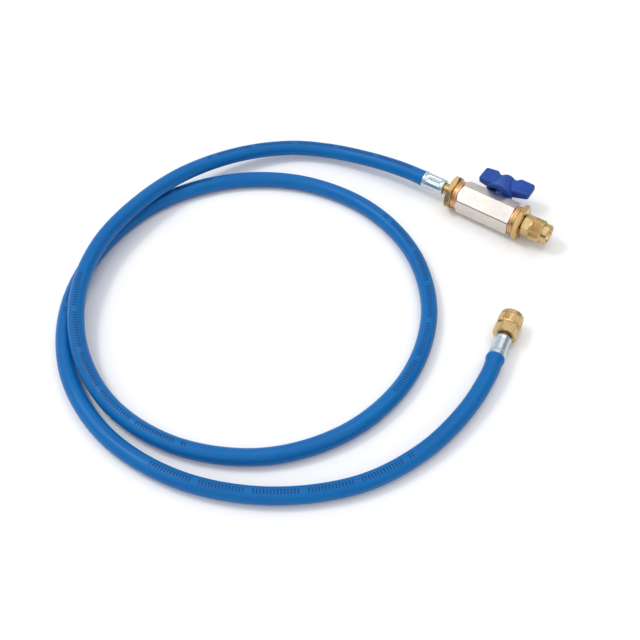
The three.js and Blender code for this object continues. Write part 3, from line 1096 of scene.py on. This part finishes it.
def makeStemParts():
    bm = bmesh.new()
    hexBlank(bm, gland["start"], gland["end"], gland["flats"], gland["bore"])
    cutFlats(bm, gland["flats"], gland["turn"])
    bmesh.ops.recalc_face_normals(bm, faces=bm.faces)
    makePiece("glandNut", bm, nickel, "base", ["gland_nut"], stemPlace, gland["bevel"])
    bm = bmesh.new()
    turned(bm, [
        (stem["tongueStart"], 0.0),
        (stem["tongueStart"], stem["tongue"]),
        (stem["shoulder"], stem["tongue"]),
        (stem["shoulder"], stem["radius"]),
        (stem["top"] - stem["edge"], stem["radius"]),
        (stem["top"], stem["radius"] - stem["edge"]),
        (stem["top"], stem["hole"]),
        (stem["holeEnd"], stem["hole"]),
        (stem["holeEnd"], 0.0),
    ], 64)
    bmesh.ops.recalc_face_normals(bm, faces=bm.faces)
    makePiece("stemRod", bm, steel, "lever", ["stem"], leverPlace, stem["bevel"])
    bm = bmesh.new()
    turned(bm, [
        (screw["end"], 0.0),
        (screw["end"], screw["thread"]),
        (screw["headStart"], screw["thread"]),
        (screw["headStart"], screw["head"] - 0.0002),
        (screw["headStart"] + 0.0002, screw["head"]),
        (screw["headTop"] - 0.0006, screw["head"]),
        (screw["headTop"] - 0.0001, screw["head"] - 0.0005),
        (screw["headTop"], screw["socket"] + 0.0002),
        (screw["headTop"], screw["socket"]),
        (screw["socketFloor"], screw["socket"] - 0.0003),
        (screw["socketFloor"], 0.0),
    ], 64)
    bmesh.ops.recalc_face_normals(bm, faces=bm.faces)
    makePiece("handleScrew", bm, steel, "lever", ["handle_screw"], leverPlace, stem["bevel"])


makeStemParts()


# butterfly handle, moulded in one
handle = dict(
    halfLength=0.020,
    rim=0.0136,
    hubTop=0.0303,
    screwDepth=0.0024,
    wingBottom=0.0206,
    wingRoot=0.0186,
    wingRootHalf=0.0088,
    wingTop=0.0322,
    corner=0.0015,
    cavityShift=0.0030,
    cavityNarrow=0.72,
    shoulder=0.0090,
    tipSlant=0.0006,
    notch=0.0066,
    tipThickness=0.0054,
    rootThickness=0.0100,
    rimRadius=0.0105,
    topRadius=0.0060,
    cavityRadius=0.0077,
    cavityDepth=0.0040,
    screwHole=0.0030,
    wellGap=0.0004,
    edge=0.0006,
    bend=0.0068,
    voxel=0.00026,
    smoothing=6,
    groovesFrom=0.0115,
    grooveMargin=0.0012,
    grooveRun=0.0008,
    grooves=(0.0128, 0.0150, 0.0172),
    grooveWidth=0.0007,
    grooveDepth=0.0004,
    blue=(0.0120, 0.0700, 0.3500),
    shade=(0.0090, 0.0540, 0.2950),
    scratched=(0.12, 0.20, 0.52),
    dusty=(0.45, 0.50, 0.62),
    roughness=0.40,
)


def makeHandlePlastic():
    material, tree, shader = newMaterial("handlePlastic")
    vector = axisSpace(tree, valveStart, 0.0)
    handling = useGroup(tree, handlingGroup, vector)
    drift = spread(tree, noise(tree, vector, 110, 3), 0.3, 0.7)
    base = mixColour(tree, drift, handle["shade"], handle["blue"])
    scratches = maths(tree, "MULTIPLY", handling.outputs["Scratch"], 0.3)
    scuffed = mixColour(tree, scratches, base, handle["scratched"])
    dust = maths(tree, "MULTIPLY", handling.outputs["Dust"], 0.12)
    dusty = mixColour(tree, dust, scuffed, handle["dusty"])
    tree.links.new(dusty, shader.inputs["Base Color"])
    rough = maths(tree, "ADD", handle["roughness"], maths(tree, "MULTIPLY", handling.outputs["Smudge"], 0.12))
    tree.links.new(rough, shader.inputs["Roughness"])
    shader.inputs["Specular IOR Level"].default_value = 0.3
    cells = addNode(tree, "ShaderNodeTexVoronoi")
    cells.inputs["Scale"].default_value = 2100
    tree.links.new(vector, cells.inputs["Vector"])
    spark = maths(tree, "ADD", maths(tree, "MULTIPLY", cells.outputs["Distance"], 0.6),
                  maths(tree, "MULTIPLY", noise(tree, vector, 3000, 3), 0.4))
    tree.links.new(addBump(tree, spark, 0.14, 0.0001), shader.inputs["Normal"])
    return material


def makeHandle():
    size = handle
    hub = bmesh.new()
    rim, top, edge = size["rimRadius"], size["topRadius"], size["edge"]
    cavityTop = size["rim"] + size["cavityDepth"]
    outline = [
        (cavityTop, 0.0),
        (cavityTop, size["cavityRadius"] - edge),
        (cavityTop - edge, size["cavityRadius"]),
        (size["rim"], size["cavityRadius"]),
        (size["rim"], rim - 0.0004),
        (size["rim"] + edge, rim),
    ]
    bends = [
        Vector((size["rim"] + 1.5 * edge, rim)),
        Vector((size["rim"] + size["bend"], top + 0.0012)),
        Vector((size["hubTop"] - 0.0012, top)),
    ]
    bendSteps = 8
    for step in range(bendSteps + 1):
        t = step / bendSteps
        point = bends[0] * (1 - t) ** 2 + bends[1] * 2 * t * (1 - t) + bends[2] * t**2
        outline.append((point.x, point.y))
    outline += [
        (size["hubTop"], top - 0.0010),
        (size["hubTop"], size["screwHole"]),
        (size["hubTop"] - size["screwDepth"], size["screwHole"]),
        (size["hubTop"] - size["screwDepth"], 0.0),
    ]
    turned(hub, outline, 96)
    # the hollow under the hub lies towards the hose
    for vert in hub.verts:
        ring = math.hypot(vert.co.y, vert.co.z)
        if vert.co.x < cavityTop + 1e-6 and ring < size["cavityRadius"] + 1e-6:
            vert.co.y *= size["cavityNarrow"]
            vert.co.z = vert.co.z * size["cavityNarrow"] - size["cavityShift"]

    wings = bmesh.new()
    half, low, high = size["halfLength"], size["wingBottom"], size["wingTop"]
    root, rootHalf = size["wingRoot"], size["wingRootHalf"]
    saddle, well = size["hubTop"] - 0.001, size["hubTop"] - size["screwDepth"]
    wellHalf = size["screwHole"] + size["wellGap"]
    sideLine = [
        (low, -half),
        (root, -rootHalf),
        (root, rootHalf),
        (low, half),
        (high, half),
        (high, size["shoulder"]),
        (saddle, size["notch"]),
        (saddle, wellHalf),
        (well, wellHalf),
        (well, -wellHalf),
        (saddle, -wellHalf),
        (saddle, -size["notch"]),
        (high, -size["shoulder"]),
        (high, size["tipSlant"] - half),
    ]
    verts = [wings.verts.new((x, -size["rootThickness"], z)) for x, z in sideLine]
    face = wings.faces.new(verts)
    moved = bmesh.ops.extrude_face_region(wings, geom=[face])["geom"]
    raised = [item for item in moved if isinstance(item, bmesh.types.BMVert)]
    bmesh.ops.translate(wings, verts=raised, vec=(0, 2 * size["rootThickness"], 0))
    bmesh.ops.recalc_face_normals(wings, faces=wings.faces)
    root, tip = size["rootThickness"] / 2, size["tipThickness"] / 2
    slope = (root - tip) / (half + 0.001)
    for across in (-1, 1):
        for along in (-1, 1):
            normal = Vector((0, across, along * slope)).normalized()
            cut = bmesh.ops.bisect_plane(
                wings,
                geom=wings.verts[:] + wings.edges[:] + wings.faces[:],
                dist=1e-8,
                plane_co=(0, across * root, 0),
                plane_no=normal,
                clear_outer=True,
            )
            rims = [item for item in cut["geom_cut"] if isinstance(item, bmesh.types.BMEdge)]
            bmesh.ops.edgeloop_fill(wings, edges=rims)
    corners = [edge for edge in wings.edges if edge.calc_face_angle(0) > 0.5
               and max(abs(vert.co.z) for vert in edge.verts) > wellHalf + 0.0001]
    bmesh.ops.bevel(
        wings,
        geom=corners,
        offset=size["corner"],
        segments=4,
        profile=0.5,
        affect="EDGES",
        material=-1,
    )

    whole = joinShapes([hub, wings])
    mesh = bpy.data.meshes.new("handleBlank")
    whole.to_mesh(mesh)
    whole.free()
    blank = bpy.data.objects.new("handleBlank", mesh)
    scene.collection.objects.link(blank)
    remesh = blank.modifiers.new("fuse", "REMESH")
    remesh.mode = "VOXEL"
    remesh.voxel_size = size["voxel"]
    fused = blank.evaluated_get(bpy.context.evaluated_depsgraph_get()).to_mesh()
    bm = bmesh.new()
    bm.from_mesh(fused)
    bpy.data.objects.remove(blank)
    for turn in range(size["smoothing"]):
        bmesh.ops.smooth_vert(
            bm,
            verts=bm.verts,
            factor=0.5,
            use_axis_x=True,
            use_axis_y=True,
            use_axis_z=True,
        )
    margin, run = size["grooveMargin"], size["grooveRun"]
    for vert in bm.verts:
        x, y, z = vert.co
        if abs(z) < size["groovesFrom"] or abs(y) < 0.0018:
            continue
        if abs(vert.normal.y) < 0.85:
            continue
        for groove in size["grooves"]:
            off = abs(abs(z) - groove) / size["grooveWidth"]
            if off < 1:
                ends = min(1.0, max(0.0, min(x - low - margin, high - margin - x) / run))
                sink = size["grooveDepth"] * ends * (1 + math.cos(math.pi * off)) / 2
                vert.co.y -= math.copysign(sink, y)
    plastic = makeHandlePlastic()
    makePiece("butterflyHandle", bm, plastic, "lever", ["handle"], leverPlace, sharp=70)


makeHandle()
print("handle ready")


# ball and seats stay as CAD pieces, seen only through the passage
def makeSeatPlastic():
    material, tree, shader = newMaterial("seatPlastic")
    vector = axisSpace(tree, valveStart, 0.0)
    grain = noise(tree, vector, 1500, 3)
    base = mixColour(tree, grain, (0.74, 0.72, 0.68), (0.82, 0.81, 0.78))
    tree.links.new(base, shader.inputs["Base Color"])
    shader.inputs["Roughness"].default_value = 0.45
    tree.links.new(addBump(tree, grain, 0.1, 0.0001), shader.inputs["Normal"])
    return material


def dressNode(node, material):
    mesh = bpy.data.objects[node].data
    if mesh.materials:
        mesh.materials[0] = material
    else:
        mesh.materials.append(material)


dressNode("ball", steel)
seatPlastic = makeSeatPlastic()
dressNode("inlet_seat", seatPlastic)
dressNode("outlet_seat", seatPlastic)


# floor and light; a panel has its direction, inner and outer angle and tone
studio = dict(
    floor=(0.93, 0.93, 0.93),
    floorSize=24.0,
    worldStrength=0.9,
    horizon=(0.70, 0.70, 0.71),
    zenith=(1.0, 1.0, 1.0),
    panels=[
        ((-0.05, -0.60, 0.80), 24, 44, 1.3),
        ((0.78, -0.49, 0.39), 7, 15, 0.08),
        ((0.49, 0.72, 0.49), 8, 16, 0.10),
        ((-0.31, -0.92, 0.20), 9, 17, 0.10),
        ((0.93, 0.25, 0.25), 20, 65, 0.45),
    ],
    aim=(-0.03, -0.14, 0.0),
    key=dict(place=(-0.70, -0.38, 1.15), size=(0.34, 0.28), power=4.6),
    top=dict(place=(0.15, 0.25, 1.3), size=(0.9, 0.7), power=2.4),
    side=dict(place=(0.95, -0.35, 0.75), size=(0.3, 0.5), power=0.8),
    floorDrop=0.0002,
)


def makeFloor():
    bm = bmesh.new()
    bmesh.ops.create_grid(bm, x_segments=1, y_segments=1, size=studio["floorSize"] / 2)
    mesh = bpy.data.meshes.new("studioFloor")
    bm.to_mesh(mesh)
    bm.free()
    floor = bpy.data.objects.new("studioFloor", mesh)
    floor.location.z = -studio["floorDrop"]
    scene.collection.objects.link(floor)
    material, tree, shader = newMaterial("paleFloor")
    shader.inputs["Base Color"].default_value = (*studio["floor"], 1.0)
    shader.inputs["Roughness"].default_value = 0.9
    shader.inputs["Specular IOR Level"].default_value = 0.1
    mesh.materials.append(material)


def addLight(name):
    lamp = studio[name]
    data = bpy.data.lights.new(name, "AREA")
    data.shape = "RECTANGLE"
    data.size, data.size_y = lamp["size"]
    data.energy = lamp["power"]
    light = bpy.data.objects.new(name, data)
    light.location = lamp["place"]
    aim = Vector(studio["aim"]) - Vector(lamp["place"])
    light.rotation_euler = aim.to_track_quat("-Z", "Y").to_euler()
    scene.collection.objects.link(light)


def makeWorld():
    world = bpy.data.worlds.new("studio")
    world.use_nodes = True
    scene.world = world
    tree = world.node_tree
    background = tree.nodes["Background"]
    coords = addNode(tree, "ShaderNodeTexCoord")
    direction = coords.outputs["Generated"]
    split = addNode(tree, "ShaderNodeSeparateXYZ")
    tree.links.new(direction, split.inputs[0])
    rise = spread(tree, split.outputs[2], 0.0, 0.8, smooth=True)
    colour = mixColour(tree, rise, studio["horizon"], studio["zenith"])
    for aim, inner, outer, tone in studio["panels"]:
        toward = addNode(tree, "ShaderNodeVectorMath", operation="DOT_PRODUCT")
        toward.inputs[1].default_value = Vector(aim).normalized()
        tree.links.new(direction, toward.inputs[0])
        low, high = math.cos(math.radians(outer)), math.cos(math.radians(inner))
        near = spread(tree, toward.outputs["Value"], low, high, smooth=True)
        colour = mixColour(tree, near, colour, (tone, tone, tone))
    tree.links.new(colour, background.inputs["Color"])
    background.inputs["Strength"].default_value = studio["worldStrength"]


makeFloor()
makeWorld()
for name in ("key", "top", "side"):
    addLight(name)
scene.view_settings.view_transform = "Standard"
print("studio ready")
